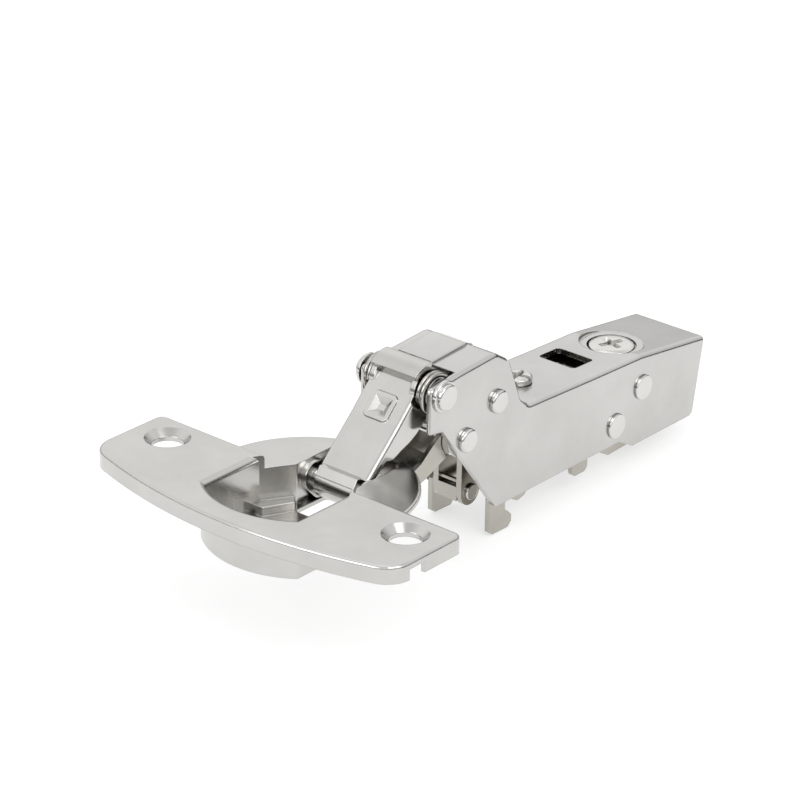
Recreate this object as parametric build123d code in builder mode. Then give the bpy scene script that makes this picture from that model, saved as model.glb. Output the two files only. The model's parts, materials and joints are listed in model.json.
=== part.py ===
from build123d import *
import os
from math import asin, atan2, cos, degrees, hypot, pi, radians, sin

# Concealed cup hinge, shown open by a right angle. Millimetres.
# X runs from the cup to the rear of the arm, Y along the door edge, Z out of the door face.
# The origin is the axis of the cup on the face of the door.

# ---- Driving dimensions: cup ----
cup_sheet = 0.75
boss_radius = 17.45
boss_depth = 7.5
rim_radius = 18.7
flange_height = 3.1
wing_rear_x = 0.3
wing_front_x = -21.6
wing_front_radius = 99.0
wing_half_span = 33.0
wing_front_corner_radius = 5.0
wing_rear_corner_radius = 1.5
screw_spacing = 52.0
screw_row_x = -5.5
screw_hole_radius = 2.7
countersink_radius = 3.95
mouth_half_width = 10.0
mouth_straight_end_x = -0.5
throat_half_width = 6.6
throat_start_x = 5.0
mouth_roll = 1.2
flange_edge_radius = 0.6
rim_edge_radius = 0.4
dimple_flare = 0.3
pin_ear_radius = 2.8
pin_ear_inset = 1.1
pin_ear_foot_radius = 2.0
floor_window_start_x = 3.0
floor_window_end_x = 10.9
floor_window_half_width = 5.3
floor_window_corner = 0.8
notch_half_width = 5.7
notch_start_x = 13.2
bench_height = 1.6
bench_reach = 1.6
bench_width = 2.1
lip_relief_x = -10.8
lip_relief_width = 3.6
lip_relief_height = 1.9

# ---- Driving dimensions: pivots, each an (X, Z) place of an axis along Y ----
outer_pin_x = 9.2
outer_pin_z = -2.9
inner_pin_x = 14.1
inner_pin_z = -4.0
link_pivot_x = 24.7
link_pivot_z = 10.8
inner_pivot_x = 31.1
inner_pivot_z = 0.5
lever_pivot_x = 39.1
lever_pivot_z = 4.9
lever_pin_x = 38.3
lever_pin_z = -13.4
rear_pivot_x = 80.0
rear_pivot_z = -6.5
damper_pivot_x = 72.5
damper_pivot_z = -11.5
latch_pivot_x = 89.0
latch_pivot_z = -9.5

# ---- Driving dimensions: clearances and adjustment ----
running_clearance = 0.05
seat_clearance = 0.02
side_clearance = 0.1
depth_travel = 2.0
tilt_rise = 0.55
tilt_slack = 0.3

# ---- Driving dimensions: pins and rivets ----
outer_pin_radius = 1.8
inner_pin_radius = 1.2
link_rivet_radius = 1.9
link_head_radius = 2.8
link_head_step_radius = 2.3
link_head_height = 1.4
small_rivet_radius = 1.25
small_head_radius = 2.1
small_head_height = 0.9
rear_rivet_radius = 1.5
flat_head_radius = 2.3
flat_head_height = 0.5
lever_pin_radius = 0.75
lever_pin_head_radius = 1.45
lever_pin_head_height = 0.5
latch_pin_radius = 1.0

# ---- Driving dimensions: outer link ----
link_sheet = 1.0
link_web_half_width = 5.3
link_tongue_half_width = 4.15
link_roll_half_width = 4.9
link_roll_start_angle = 80.0
link_roll_end_angle = 134.0
bush_radius = 2.9
link_roll_gap = 0.95
bush_half_length = 6.9

# ---- Driving dimensions: inner link ----
inner_link_sheet = 0.9
inner_link_half_width = 5.35
inner_eye_radius = 2.15
pivot_slot_shift_x = -0.25
pivot_slot_shift_z = 1.09
pivot_slot_wall = 1.0
washer_radius = 3.4

# ---- Driving dimensions: springs ----
spring_wire = 0.75
spring_pitch = 0.82
spring_turns = 1.4
spring_leg = 12.0

# ---- Driving dimensions: arm ----
arm_half_width = 8.0
arm_sheet = 1.05
arm_bend_radius = 0.9
arm_rear_x = 98.0
arm_rear_top_z = -2.65
arm_waist_z = -15.1
arm_bottom_z = -17.25
step_foot_x = 47.6
head_lip_x = 29.0
head_lip_z = 13.3
head_rear_x = 38.6
head_rear_z = 13.85
ridge_near_y = -2.0
ridge_far_y = 5.6
ridge_height = 0.45
ear_top_z = 12.6
ear_front_x = 21.8
window_start_x = 66.0
window_end_x = 71.8
window_half_width = 4.0
window_centre_y = 0.8
window_corner = 0.8
recess_radius = 5.9
side_screw_x = 54.5
side_screw_hole_radius = 2.0

# ---- Driving dimensions: lever and damper ----
lever_half_width = 3.1
lever_sheet = 1.1
lever_eye_radius = 3.0
lever_foot_radius = 2.5
lever_web_height = 2.7
lever_web_sheet = 0.65
lever_rod_radius = 0.45
lever_rod_rise = 2.1
damper_rod_radius = 0.9
rod_eye_radius = 1.35
rod_eye_half_width = 1.9
damper_radius = 2.8
damper_wall = 0.5
damper_start = 9.0
damper_end = 28.0
damper_tail_radius = 2.4
damper_tail_half_width = 2.0
piston_length = 3.0

# ---- Driving dimensions: channel, adjusters and latch ----
channel_sheet = 0.9
channel_top_z = -2.6
channel_front_x = 50.0
channel_rear_x = 92.0
channel_bottom_z = -15.0
hook_front_x = 38.95
hook_bottom_z = -21.1
rear_hook_front_x = 61.8
rear_hook_length = 4.3
rear_hook_bottom_z = -18.2
side_screw_neck_radius = 1.3
depth_head_radius = 3.7
depth_head_height = 1.9
depth_screw_radius = 1.9
block_half_length = 4.0
block_height = 4.9
latch_sheet = 1.0
latch_half_width = 5.7
latch_spring_wire = 0.6
latch_spring_turns = 3
drive_slot_width = 0.9
drive_slot_depth = 0.9
drive_turn = -20.0
depth_drive_span = 5.6
side_drive_span = 3.0
side_screw_top_z = 1.9

# ---- Derived places and sizes ----
overrun = 1.0
recess_x = rear_pivot_x + 1.0
outer_pin = (outer_pin_x, outer_pin_z)
inner_pin = (inner_pin_x, inner_pin_z)
link_pivot = (link_pivot_x, link_pivot_z)
inner_pivot = (inner_pivot_x, inner_pivot_z)
lever_pivot = (lever_pivot_x, lever_pivot_z)
lever_pin_place = (lever_pin_x, lever_pin_z)
rear_pivot = (rear_pivot_x, rear_pivot_z)
damper_pivot = (damper_pivot_x, damper_pivot_z)
latch_pivot = (latch_pivot_x, latch_pivot_z)
boss_floor_z = cup_sheet - boss_depth
dimple_bottom_z = flange_height - (countersink_radius - screw_hole_radius) - cup_sheet
arm_inner_half_width = arm_half_width - arm_sheet
channel_half_width = arm_inner_half_width - side_clearance
channel_inner_half_width = channel_half_width - channel_sheet


def shifted(place, x, z):
    """The (X, Z) place moved by x and z."""
    return (place[0] + x, place[1] + z)


def halfway(place_a, place_b):
    """The place in the middle between two (X, Z) places."""
    return ((place_a[0] + place_b[0]) / 2, (place_a[1] + place_b[1]) / 2)


def disc(place, radius):
    """A round face in the XZ plane at an (X, Z) place."""
    with BuildSketch(Plane.XZ) as face:
        with Locations(place):
            Circle(radius)
    return face.sketch


def outline(points, *corners):
    """A face in the XZ plane through the points, with (point, radius) corners rounded."""
    with BuildSketch(Plane.XZ) as face:
        with BuildLine():
            Polyline(*points, close=True)
        make_face()
        for place, radius in corners:
            fillet(face.vertices().sort_by_distance((place[0], place[1], 0))[0], radius)
    return face.sketch


def across(face, half_width, mode=Mode.ADD):
    """Extrude a side face to both sides of the middle plane."""
    extrude(face, amount=half_width, both=True, mode=mode)


def cheeks(face, inner, outer, mode=Mode.ADD):
    """Two mirrored plates of one side face, from |Y| = inner to |Y| = outer."""
    for side in (1, -1):
        extrude(
            face.moved(Location((0, side * inner, 0))),
            amount=outer - inner,
            dir=(0, side, 0),
            mode=mode,
        )


def stadium(place, half_length, radius):
    """A slot along X in the XZ plane."""
    with BuildSketch(Plane.XZ) as face:
        with Locations(place):
            SlotCenterToCenter(2 * half_length, 2 * radius)
    return face.sketch


def upright_stadium(place, half_run, radius):
    """A slot along Z in the XZ plane."""
    with BuildSketch(Plane.XZ) as face:
        with Locations(place):
            SlotCenterToCenter(2 * half_run, 2 * radius, rotation=90)
    return face.sketch


def bridge(place_a, radius_a, place_b, radius_b):
    """The face that wraps two round ends."""
    with BuildSketch(Plane.XZ) as face:
        with Locations(place_a):
            Circle(radius_a)
        with Locations(place_b):
            Circle(radius_b)
        make_hull()
    return face.sketch


# ---------------------------------------------------------------- cup
with BuildSketch() as wing_plan:
    with Locations((wing_front_x + wing_front_radius, 0)):
        Circle(wing_front_radius)
    with Locations((wing_rear_x, 0)):
        Rectangle(
            wing_rear_x - wing_front_x + 1,
            2 * wing_half_span,
            align=(Align.MAX, Align.CENTER),
            mode=Mode.INTERSECT,
        )
    rear_corners = wing_plan.vertices().group_by(Axis.X)[-1]
    fillet(rear_corners, wing_rear_corner_radius)
    front_corners = wing_plan.vertices().group_by(Axis.X)[0]
    fillet(front_corners, wing_front_corner_radius)

with BuildSketch() as cavity_plan:
    Circle(boss_radius - cup_sheet)
    with BuildLine():
        Polyline(
            (-boss_radius, mouth_half_width),
            (mouth_straight_end_x, mouth_half_width),
            (throat_start_x, throat_half_width),
            (boss_radius, throat_half_width),
            (boss_radius, -throat_half_width),
            (throat_start_x, -throat_half_width),
            (mouth_straight_end_x, -mouth_half_width),
            (-boss_radius, -mouth_half_width),
            close=True,
        )
    make_face(mode=Mode.INTERSECT)

with BuildSketch() as boss_plan:
    add(cavity_plan.sketch)
    offset(amount=cup_sheet)

with BuildPart() as cup:
    # The raised flange with its down-turned lip, hollow underneath.
    extrude(wing_plan.sketch, amount=flange_height)
    with BuildSketch() as flange_hollow:
        add(wing_plan.sketch)
        offset(amount=-cup_sheet)
    extrude(amount=flange_height - cup_sheet, mode=Mode.SUBTRACT)
    # The low rim behind the flange.
    with BuildSketch() as rim_plan:
        Circle(rim_radius)
        with Locations((wing_rear_x - cup_sheet, 0)):
            Rectangle(
                2 * rim_radius,
                2 * rim_radius,
                align=(Align.MIN, Align.CENTER),
                mode=Mode.INTERSECT,
            )
    extrude(amount=cup_sheet)
    # The drawn boss: up to the rim at the rear and to the flange in front.
    extrude(boss_plan.sketch.moved(Location((0, 0, -boss_depth))), amount=boss_depth + cup_sheet)
    with BuildSketch(Plane.XY) as front_wall_plan:
        add(boss_plan.sketch)
        with Locations((wing_rear_x, 0)):
            Rectangle(
                2 * boss_radius,
                4 * boss_radius,
                align=(Align.MAX, Align.CENTER),
                mode=Mode.INTERSECT,
            )
    extrude(amount=flange_height)
    bottom_edges = cup.faces().sort_by(Axis.Z)[0].edges()
    fillet(bottom_edges, cup_sheet * 0.9)
    extrude(
        cavity_plan.sketch.moved(Location((0, 0, boss_floor_z))),
        amount=flange_height - boss_floor_z + 1,
        mode=Mode.SUBTRACT,
    )
    # The rolled mouth round the well.
    flange_top = cup.faces().filter_by(Axis.Z).sort_by(Axis.Z)[-1]
    mouth_edges = flange_top.edges().filter_by(
        lambda e: e.bounding_box().max.X < wing_rear_x - 0.01
        and abs(e.center().Y) < mouth_half_width + 0.1
        and hypot(e.center().X, e.center().Y) < boss_radius
    )
    fillet(mouth_edges, mouth_roll)
    # The drawn outer edges of the flange and of the rim.
    outer_edges = flange_top.edges().filter_by(
        lambda e: hypot(e.center().X, e.center().Y) > boss_radius + cup_sheet
    )
    fillet(outer_edges, flange_edge_radius)
    rim_top = cup.faces().filter_by(Axis.Z).filter_by(lambda f: abs(f.center().Z - cup_sheet) < 0.01)
    fillet(rim_top.edges().filter_by(GeomType.CIRCLE).sort_by(SortBy.RADIUS)[-1:], rim_edge_radius)
    # Low benches along the slanted walls, up to the floor window.
    for side in (1, -1):
        with BuildSketch(Plane.XY.offset(boss_floor_z - cup_sheet / 2)):
            with BuildLine():
                Polyline(
                    (mouth_straight_end_x - bench_reach, side * (mouth_half_width + cup_sheet / 2)),
                    (mouth_straight_end_x - bench_reach, side * (mouth_half_width - bench_width)),
                    (floor_window_start_x, side * floor_window_half_width),
                    (throat_start_x, side * (throat_half_width + cup_sheet / 2)),
                    (mouth_straight_end_x, side * (mouth_half_width + cup_sheet / 2)),
                    close=True,
                )
            make_face()
        extrude(amount=bench_height + cup_sheet / 2)
    # The window through the floor and the notch through the rear wall and rim.
    with BuildSketch(Plane.XY.offset(-boss_depth)):
        with Locations(((floor_window_start_x + floor_window_end_x) / 2, 0)):
            RectangleRounded(
                floor_window_end_x - floor_window_start_x,
                2 * floor_window_half_width,
                floor_window_corner,
            )
    extrude(amount=cup_sheet + bench_height, mode=Mode.SUBTRACT)
    with BuildSketch(Plane.XY.offset(boss_floor_z)):
        with BuildLine():
            Polyline(
                (notch_start_x, throat_half_width),
                (notch_start_x + 2, notch_half_width),
                (rim_radius + 1, notch_half_width),
                (rim_radius + 1, -notch_half_width),
                (notch_start_x + 2, -notch_half_width),
                (notch_start_x, -throat_half_width),
                close=True,
            )
        make_face()
    extrude(amount=cup_sheet - boss_floor_z + 1, mode=Mode.SUBTRACT)
    # Countersunk screw holes, each in a dimple pressed below the sheet.
    for side in (1, -1):
        with BuildSketch(Plane.XY.offset(flange_height - cup_sheet)):
            with Locations((screw_row_x, side * screw_spacing / 2)):
                Circle(countersink_radius + dimple_flare)
        with BuildSketch(Plane.XY.offset(dimple_bottom_z)):
            with Locations((screw_row_x, side * screw_spacing / 2)):
                Circle(screw_hole_radius + cup_sheet)
        loft()
    with Locations((screw_row_x, 0, flange_height)):
        with GridLocations(0, screw_spacing, 1, 2):
            CounterSinkHole(screw_hole_radius, countersink_radius, 2 * flange_height, 90)
    # The small relief in the lip of the near wing.
    with BuildSketch(Plane.XZ.offset(wing_half_span - 2)):
        with Locations((lip_relief_x, 0)):
            Rectangle(lip_relief_width, 2 * lip_relief_height)
    extrude(amount=4, mode=Mode.SUBTRACT)
    # Ears on the throat's walls that carry the outer pin.
    cheeks(
        bridge(
            shifted(outer_pin, -0.6, 0.4),
            pin_ear_radius,
            shifted(outer_pin, 0.4, boss_floor_z - outer_pin_z + pin_ear_foot_radius),
            pin_ear_foot_radius,
        ),
        throat_half_width - pin_ear_inset,
        throat_half_width + cup_sheet / 2,
    )
    # Bores for the two pins.
    across(disc(outer_pin, outer_pin_radius + seat_clearance), 2 * throat_half_width, Mode.SUBTRACT)
    across(disc(inner_pin, inner_pin_radius + seat_clearance), 2 * throat_half_width, Mode.SUBTRACT)
cup.part.label = "cup"

with BuildPart() as cup_pin_outer:
    across(disc(outer_pin, outer_pin_radius), throat_half_width + cup_sheet)
    chamfer(cup_pin_outer.edges().filter_by(GeomType.CIRCLE), 0.25)
cup_pin_outer.part.label = "cup_pin_outer"

with BuildPart() as cup_pin_inner:
    across(disc(inner_pin, inner_pin_radius), throat_half_width + cup_sheet)
    chamfer(cup_pin_inner.edges().filter_by(GeomType.CIRCLE), 0.2)
cup_pin_inner.part.label = "cup_pin_inner"

# ---------------------------------------------------------------- outer link
# The outer face of the web: two straight runs with a slight bend between them.
web_top = shifted(link_pivot, -2.5, 1.8)
web_bend = shifted(link_pivot, -7.9, -3.7)
web_foot = shifted(outer_pin, -0.13, 2.73)
upper_roll_radius = bush_radius + link_roll_gap + link_sheet
lower_roll_radius = outer_pin_radius + running_clearance + link_sheet

with BuildSketch(Plane.XZ) as upper_roll:
    with Locations(link_pivot):
        Circle(upper_roll_radius)
        Circle(upper_roll_radius - link_sheet, mode=Mode.SUBTRACT)
    with BuildLine():
        reach = 3 * upper_roll_radius
        start = radians(link_roll_start_angle)
        end = radians(link_roll_end_angle)
        Polyline(
            link_pivot,
            shifted(link_pivot, reach * cos(start), reach * sin(start)),
            shifted(link_pivot, reach * cos(end), reach * sin(end)),
            close=True,
        )
    make_face(mode=Mode.INTERSECT)

crease = shifted(link_pivot, upper_roll_radius * cos(end), upper_roll_radius * sin(end))
crease_inner = shifted(
    link_pivot,
    (upper_roll_radius - link_sheet) * cos(end),
    (upper_roll_radius - link_sheet) * sin(end),
)

with BuildSketch(Plane.XZ) as web_face:
    with BuildLine():
        Polyline(
            crease,
            web_top,
            web_bend,
            web_foot,
            shifted(web_foot, 0.7 * link_sheet, -0.7 * link_sheet),
            shifted(web_bend, 0.7 * link_sheet, -0.7 * link_sheet),
            shifted(web_top, 0.7 * link_sheet, -0.7 * link_sheet),
            crease_inner,
            close=True,
        )
    make_face()

with BuildSketch(Plane.XZ) as lower_roll:
    with Locations(outer_pin):
        Circle(lower_roll_radius)
    with BuildLine():
        Polyline(
            shifted(outer_pin, -2.37, 1.73),
            shifted(outer_pin, -1.35, 3.15),
            shifted(outer_pin, -0.2, 3.05),
            shifted(outer_pin, 0.6, 2.2),
            outer_pin,
            close=True,
        )
    make_face()
    with Locations(outer_pin):
        Circle(outer_pin_radius + running_clearance, mode=Mode.SUBTRACT)

cheek_knee = shifted(outer_pin, 6.2, 4.5)
cheek_hip = shifted(link_pivot, -3.3, -6.5)
link_flange_face = outline(
    [
        crease_inner,
        web_top,
        web_bend,
        web_foot,
        shifted(web_foot, 1.6, -0.5),
        shifted(outer_pin, 4.4, 4.8),
        cheek_knee,
        shifted(link_pivot, -7.1, -8.2),
        shifted(link_pivot, -5.05, -7.5),
        cheek_hip,
        shifted(link_pivot, -1.7, -5.2),
        shifted(link_pivot, 0.5, -4.0),
    ],
    (cheek_knee, 1.0),
    (cheek_hip, 1.5),
)

with BuildPart() as outer_link:
    across(web_face.sketch, link_web_half_width)
    cheeks(link_flange_face, link_web_half_width - link_sheet, link_web_half_width)
    run_middles = (halfway(web_top, web_bend), halfway(web_bend, web_foot))
    long_edges = outer_link.edges().filter_by(
        lambda e: abs(abs(e.center().Y) - link_web_half_width) < 0.01
        and any(hypot(e.center().X - x, e.center().Z - z) < 0.3 for x, z in run_middles)
    )
    fillet(long_edges, 0.8 * link_sheet)
    # The cheeks narrow at the bush so that the springs fit beside them.
    cheeks(
        disc(link_pivot, upper_roll_radius - 0.2),
        link_roll_half_width,
        link_web_half_width + 1,
        Mode.SUBTRACT,
    )
    across(upper_roll.sketch, link_roll_half_width)
    cheeks(
        disc(link_pivot, upper_roll_radius - link_sheet + 0.02),
        link_roll_half_width - link_sheet,
        link_roll_half_width,
    )
    across(lower_roll.sketch, link_tongue_half_width)
    across(disc(link_pivot, bush_radius + running_clearance), link_web_half_width + 1, Mode.SUBTRACT)
    # The raised pad with its square pit, pressed into the web.
    pad_x, pad_z = shifted(halfway(web_top, web_bend), -1.2, -1.2)
    lean = atan2(web_top[1] - web_bend[1], web_top[0] - web_bend[0])
    pad_plane = Plane(
        origin=(pad_x, 0, pad_z),
        x_dir=(0, 1, 0),
        z_dir=(-sin(lean), 0, cos(lean)),
    )
    with BuildSketch(pad_plane.offset(-0.5)):
        RectangleRounded(6.0, 5.6, 1.2)
    with BuildSketch(pad_plane.offset(0.3)):
        RectangleRounded(5.2, 4.8, 1.0)
    loft()
    with BuildSketch(pad_plane.offset(-0.45)):
        Rectangle(1.4, 1.0)
    with BuildSketch(pad_plane.offset(0.35)):
        Rectangle(3.9, 3.5)
    loft(mode=Mode.SUBTRACT)
outer_link.part.label = "outer_link"

# ---------------------------------------------------------------- inner link
pivot_slot_radius = small_rivet_radius + 0.55
pivot_slot_centre = shifted(inner_pivot, pivot_slot_shift_x, pivot_slot_shift_z)
pivot_slot_half_run = 0.7
link_waist = shifted(inner_pin, 4.3, -0.95)
link_middle = shifted(inner_pin, 9.4, 0.7)

with BuildPart() as inner_link:
    inner_plate = inner_link_half_width - inner_link_sheet
    for face in (
        bridge(inner_pin, inner_eye_radius, link_waist, 1.45),
        bridge(link_waist, 1.45, link_middle, 1.7),
        bridge(link_middle, 1.7, shifted(pivot_slot_centre, 0, -pivot_slot_half_run), 2.8),
        upright_stadium(
            pivot_slot_centre, pivot_slot_half_run, pivot_slot_radius + pivot_slot_wall
        ),
    ):
        cheeks(face, inner_plate, inner_link_half_width)
    # The web that joins the plates along their lower edge.
    across(
        outline(
            [
                shifted(link_waist, 1.9, -1.0),
                shifted(link_middle, 0.6, -1.6),
                shifted(link_middle, 4.3, 0.0),
                shifted(link_middle, 3.9, 0.8),
                shifted(link_middle, 0.3, -0.75),
                shifted(link_waist, 1.7, -0.1),
            ]
        ),
        inner_plate + 0.05,
    )
    cheeks(
        disc(inner_pin, inner_pin_radius + running_clearance),
        inner_plate - 1,
        inner_link_half_width + 1,
        Mode.SUBTRACT,
    )
    cheeks(
        upright_stadium(pivot_slot_centre, pivot_slot_half_run, pivot_slot_radius),
        inner_plate - 1,
        inner_link_half_width + 1,
        Mode.SUBTRACT,
    )
inner_link.part.label = "inner_link"

# ---------------------------------------------------------------- arm housing
top_line = [
    (arm_rear_x, arm_rear_top_z),
    (rear_pivot_x - 0.7, -0.25),
    (window_start_x - 0.5, 0.3),
    (step_foot_x, 1.15),
    (step_foot_x - 1.9, 2.9),
    (step_foot_x - 5.2, 11.4),
    (head_rear_x, head_rear_z),
    (head_lip_x, head_lip_z),
    (ear_front_x, ear_top_z),
]
arm_under_line = [
    (ear_front_x, 4.26),
    (ear_front_x + 3.45, 3.63),
    (ear_front_x + 13.2, -9.4),
    (ear_front_x + 17.4, arm_waist_z),
    (rear_pivot_x - 6.3, arm_waist_z),
    (rear_pivot_x - 2.4, arm_bottom_z),
    (arm_rear_x - 2.7, arm_bottom_z),
]


def lowered(points, drop):
    """The line moved inward by one sheet thickness, corner by corner."""
    headings = [atan2(b[1] - a[1], b[0] - a[0]) % (2 * pi) for a, b in zip(points, points[1:])]
    moved = []
    for place, into, out in zip(points, headings[:1] + headings, headings + headings[-1:]):
        middle = (into + out) / 2
        reach = drop / cos((out - into) / 2)
        moved.append(shifted(place, -sin(middle) * reach, cos(middle) * reach))
    return moved


top_inside = lowered(top_line, arm_sheet)
arm_side_face = outline(
    top_line + arm_under_line,
    (top_line[3], 2.0),
    (top_line[4], 3.0),
    (top_line[5], 3.0),
    (top_line[6], 2.5),
    (top_line[8], 1.0),
    (arm_under_line[0], 0.6),
    (arm_under_line[3], 1.0),
    (arm_under_line[6], 1.2),
)
arm_inside_face = outline(
    [shifted(top_inside[0], overrun, 0)]
    + top_inside[1:8]
    + [
        shifted(top_inside[7], ear_front_x - head_lip_x - overrun, 0),
        (ear_front_x - overrun, arm_under_line[4][1] - 3 * overrun),
        shifted(top_inside[0], overrun, arm_under_line[4][1] - 3 * overrun),
    ],
    (top_inside[3], 2.0 + arm_sheet),
    (top_inside[4], 2.4),
    (top_inside[5], 2.0),
    (top_inside[6], 1.5),
)
ridge_face = outline(
    [
        (head_lip_x, head_lip_z - arm_sheet / 2),
        (head_lip_x, head_lip_z + ridge_height),
        (head_rear_x - 1, head_rear_z + ridge_height),
        (head_rear_x + 1.2, head_rear_z - arm_sheet / 2),
    ],
    ((head_rear_x - 1, head_rear_z + ridge_height), 1.0),
)

with BuildPart() as arm_housing:
    across(arm_side_face, arm_half_width)
    with BuildLine(Plane.XZ) as crest:
        Polyline(*top_line)
    crest_edges = arm_housing.edges().filter_by(
        lambda e: abs(abs(e.center().Y) - arm_half_width) < 0.01
        and crest.line.distance_to(Vector(e.center().X, 0, e.center().Z)) < arm_bend_radius
    )
    fillet(crest_edges, arm_bend_radius)
    # The stiffening ridge along the head.
    extrude(
        ridge_face.moved(Location((0, ridge_near_y, 0))),
        amount=ridge_far_y - ridge_near_y,
        dir=(0, 1, 0),
    )
    ridge_edges = arm_housing.edges().filter_by(
        lambda e: (abs(e.center().Y - ridge_near_y) < 0.01 or abs(e.center().Y - ridge_far_y) < 0.01)
        and e.center().Z > head_lip_z + ridge_height
        and e.length > 5
    )
    fillet(ridge_edges, 0.8 * ridge_height)
    across(arm_inside_face, arm_inner_half_width, Mode.SUBTRACT)
    # The head is open in front of its lip, over the upper knuckle.
    with BuildSketch(Plane.XY.offset(head_rear_z + 3)):
        with Locations((head_lip_x, 0)):
            Rectangle(20, 2 * arm_inner_half_width, align=(Align.MAX, Align.CENTER))
    extrude(amount=-6, mode=Mode.SUBTRACT)
    # Top openings: clip window, the depth screw's head and the side screw.
    with BuildSketch(Plane.XY.offset(3)):
        with Locations(((window_start_x + window_end_x) / 2, window_centre_y)):
            RectangleRounded(window_end_x - window_start_x, 2 * window_half_width, window_corner)
        with Locations((recess_x, 0)):
            Circle(recess_radius)
        with Locations((side_screw_x, 0)):
            Circle(side_screw_hole_radius)
    extrude(amount=-6, mode=Mode.SUBTRACT)
    # Bores in both walls.
    for place, radius in (
        (link_pivot, link_rivet_radius + seat_clearance),
        (inner_pivot, small_rivet_radius + seat_clearance),
        (lever_pivot, small_rivet_radius + seat_clearance),
        (damper_pivot, small_rivet_radius + seat_clearance),
        (rear_pivot, rear_rivet_radius + running_clearance),
    ):
        across(disc(place, radius), arm_half_width + 1, Mode.SUBTRACT)
arm_housing.part.label = "arm_housing"


def headed_rivet(part, place, radius, head_radius, head_height, reach, crown):
    """A pin through both walls with a domed head on each side."""
    across(disc(place, radius), reach)
    cheeks(disc(place, head_radius), reach, reach + head_height)
    rims = part.edges().filter_by(GeomType.CIRCLE).filter_by(
        lambda e: abs(abs(e.center().Y) - reach - head_height) < 0.001
    )
    fillet(rims, crown)


head_seat = arm_half_width + seat_clearance

with BuildPart() as link_rivet:
    headed_rivet(
        link_rivet, link_pivot, link_rivet_radius, link_head_radius, link_head_height / 2, head_seat, 0.3
    )
    cheeks(
        disc(link_pivot, link_head_step_radius),
        head_seat + link_head_height / 2,
        head_seat + link_head_height,
    )
    fillet(
        link_rivet.edges().filter_by(GeomType.CIRCLE).filter_by(
            lambda e: abs(abs(e.center().Y) - head_seat - link_head_height) < 0.001
        ),
        0.4,
    )
link_rivet.part.label = "link_rivet"

with BuildPart() as link_bush:
    across(disc(link_pivot, bush_radius), bush_half_length)
    across(disc(link_pivot, link_rivet_radius + seat_clearance), bush_half_length, Mode.SUBTRACT)
link_bush.part.label = "link_bush"

with BuildPart() as inner_link_rivet:
    headed_rivet(
        inner_link_rivet,
        inner_pivot,
        small_rivet_radius,
        small_head_radius,
        small_head_height,
        head_seat,
        0.5,
    )
inner_link_rivet.part.label = "inner_link_rivet"

with BuildPart() as lever_rivet:
    headed_rivet(
        lever_rivet,
        lever_pivot,
        small_rivet_radius,
        small_head_radius,
        small_head_height,
        head_seat,
        0.5,
    )
lever_rivet.part.label = "lever_rivet"

with BuildPart() as damper_rivet:
    headed_rivet(
        damper_rivet,
        damper_pivot,
        small_rivet_radius,
        flat_head_radius,
        flat_head_height,
        head_seat,
        0.2,
    )
damper_rivet.part.label = "damper_rivet"

with BuildPart() as rear_rivet:
    headed_rivet(
        rear_rivet,
        rear_pivot,
        rear_rivet_radius,
        flat_head_radius,
        flat_head_height,
        head_seat,
        0.2,
    )
rear_rivet.part.label = "rear_rivet"

washer_start = inner_link_half_width + side_clearance
washers = {}
for side, side_name in ((-1, "near"), (1, "far")):
    with BuildPart() as washer:
        with BuildSketch(Plane.XZ.offset(-side * washer_start)):
            with Locations(inner_pivot):
                Circle(washer_radius)
                Circle(small_rivet_radius + seat_clearance, mode=Mode.SUBTRACT)
        extrude(amount=-side * (bush_half_length - washer_start))
    washer.part.label = "inner_link_washer_" + side_name
    washers[side_name] = washer

# ---------------------------------------------------------------- closing springs
spring_radius = bush_radius + side_clearance / 2 + spring_wire / 2
spring_start = link_roll_half_width + side_clearance + spring_wire / 2
# Each spring's leg runs down to rest on the washer of the inner link's pivot.
pivot_run = hypot(inner_pivot_x - link_pivot_x, inner_pivot_z - link_pivot_z)
leg_rise = washer_radius + side_clearance + spring_wire / 2 - spring_radius
leg_heading = degrees(
    atan2(inner_pivot_z - link_pivot_z, inner_pivot_x - link_pivot_x) + asin(leg_rise / pivot_run)
)
spring_leg_turn = -360 * spring_turns - leg_heading
with BuildPart() as closing_spring_far:
    with BuildLine() as spring_path:
        coil = Helix(
            spring_pitch,
            spring_pitch * spring_turns,
            spring_radius,
            center=(link_pivot_x, spring_start, link_pivot_z),
            direction=(0, 1, 0),
            mode=Mode.PRIVATE,
        ).rotate(Axis((link_pivot_x, 0, link_pivot_z), (0, 1, 0)), spring_leg_turn)
        add(coil)
        heading = Vector((coil % 1).X, 0, (coil % 1).Z).normalized()
        Line(coil @ 1, coil @ 1 + heading * spring_leg)
    with BuildSketch(spring_path.line ^ 0):
        Circle(spring_wire / 2)
    sweep()
closing_spring_far.part.label = "closing_spring_far"

with BuildPart() as closing_spring_near:
    mirror(closing_spring_far.part, about=Plane.XZ)
closing_spring_near.part.label = "closing_spring_near"

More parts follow.
